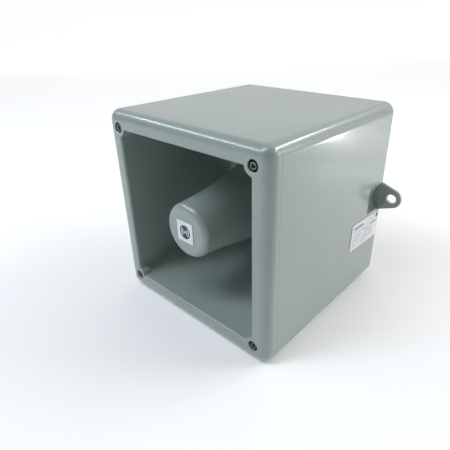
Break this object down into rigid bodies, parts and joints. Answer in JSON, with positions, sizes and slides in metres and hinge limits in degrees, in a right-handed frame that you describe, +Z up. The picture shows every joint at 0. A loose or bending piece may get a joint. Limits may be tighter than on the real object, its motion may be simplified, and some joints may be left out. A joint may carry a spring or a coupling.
{
  "type": "alarm siren",
  "caption": "Square wall-mounted alarm siren: a deep flared mouth with a central bullet, corner cover screws, a sounder board in the box behind and two wall lugs.",
  "frame": {"origin": "under the middle of the siren, at the height of what it stands on", "axes": "+Z is up, the mouth faces -Y, and +X runs to the right as seen from in front, along the line through both wall lugs"},
  "size_m": [0.238, 0.1942, 0.1996],
  "materials": {
    "housing": "glossy moulded plastic",
    "label": "printed film",
    "dark_screw": "blackened steel",
    "steel": "zinc-plated steel",
    "brass": "turned brass",
    "rubber": "moulded rubber",
    "black_plastic": "moulded plastic",
    "ferrite": "sintered ferrite",
    "diaphragm": "bonded resin sheet",
    "copper": "enamelled copper wire",
    "board": "solder mask over glass laminate",
    "cream_plastic": "moulded plastic",
    "aluminium": "cast and extruded aluminium",
    "red_plastic": "moulded plastic and wire cover",
    "white_plastic": "moulded plastic"
  },
  "bodies": {
    "box": {"rear_housing": "housing", "rating_label": "label", "board_screw_1": "steel", "board_screw_2": "steel", "board_screw_3": "steel", "board_screw_4": "steel", "thread_insert_1": "brass", "thread_insert_2": "brass", "thread_insert_3": "brass", "thread_insert_4": "brass", "plug_seal_1": "rubber", "plug_seal_2": "rubber", "cable_plug_1": "black_plastic", "cable_plug_2": "black_plastic", "capacitor_1": "black_plastic", "capacitor_2": "black_plastic", "jack_socket": "black_plastic", "record_button_body": "black_plastic", "play_button_body": "black_plastic", "transformer": "ferrite", "circuit_board": "board", "ribbon_header": "cream_plastic", "volume_pot_body": "cream_plastic", "heat_sink": "aluminium", "tone_switch_body": "red_plastic", "terminal_block": "white_plastic", "speaker_header": "white_plastic"},
    "horn": {"horn_flare": "housing", "front_gasket": "rubber", "bullet": "housing", "badge": "label", "throat_tube": "black_plastic", "driver_gasket": "rubber", "driver_cover": "aluminium", "driver_surround": "diaphragm", "top_plate": "steel", "magnet": "ferrite", "yoke": "steel", "driver_lead": "red_plastic", "speaker_plug": "cream_plastic", "driver_screw_1": "steel", "driver_screw_2": "steel", "driver_screw_3": "steel", "bullet_screw_1": "steel", "bullet_screw_2": "steel", "bullet_screw_3": "steel", "cover_screw_1": "dark_screw", "cover_screw_2": "dark_screw", "cover_screw_3": "dark_screw", "cover_screw_4": "dark_screw"},
    "sounding_dome": {"diaphragm": "diaphragm", "voice_coil": "copper"},
    "volume_control": {"volume_rotor": "white_plastic"},
    "record_button": {"record_button_cap": "red_plastic"},
    "play_button": {"play_button_cap": "white_plastic"},
    "tone_setting_1": {"tone_slider_1": "white_plastic"},
    "tone_setting_2": {"tone_slider_2": "white_plastic"},
    "tone_setting_3": {"tone_slider_3": "white_plastic"},
    "tone_setting_4": {"tone_slider_4": "white_plastic"},
    "tone_setting_5": {"tone_slider_5": "white_plastic"}
  },
  "joints": [
    {"name": "horn_removal", "type": "slide", "parent": "box", "child": "horn", "axis": [0, -1, 0], "range_m": [0, 0.18]},
    {"name": "diaphragm_travel", "type": "slide", "parent": "horn", "child": "sounding_dome", "axis": [0, 1, 0], "range_m": [-0.0003, 0.0003], "stiffness_N_per_m": 5000},
    {"name": "volume_turn", "type": "hinge", "parent": "box", "child": "volume_control", "pos_m": [-0.04, 0.081, 0.13982], "axis": [0, -1, 0], "range_deg": [-135, 135]},
    {"name": "record_press", "type": "slide", "parent": "box", "child": "record_button", "axis": [0, 1, 0], "range_m": [0, 0.0004], "stiffness_N_per_m": 3000},
    {"name": "play_press", "type": "slide", "parent": "box", "child": "play_button", "axis": [0, 1, 0], "range_m": [0, 0.0004], "stiffness_N_per_m": 3000},
    {"name": "tone_slide_1", "type": "slide", "parent": "box", "child": "tone_setting_1", "axis": [0, 0, 1], "range_m": [0, 0.0022]},
    {"name": "tone_slide_2", "type": "slide", "parent": "box", "child": "tone_setting_2", "axis": [0, 0, 1], "range_m": [0, 0.0022]},
    {"name": "tone_slide_3", "type": "slide", "parent": "box", "child": "tone_setting_3", "axis": [0, 0, 1], "range_m": [0, 0.0022]},
    {"name": "tone_slide_4", "type": "slide", "parent": "box", "child": "tone_setting_4", "axis": [0, 0, 1], "range_m": [0, 0.0022]},
    {"name": "tone_slide_5", "type": "slide", "parent": "box", "child": "tone_setting_5", "axis": [0, 0, 1], "range_m": [0, 0.0022]}
  ]
}
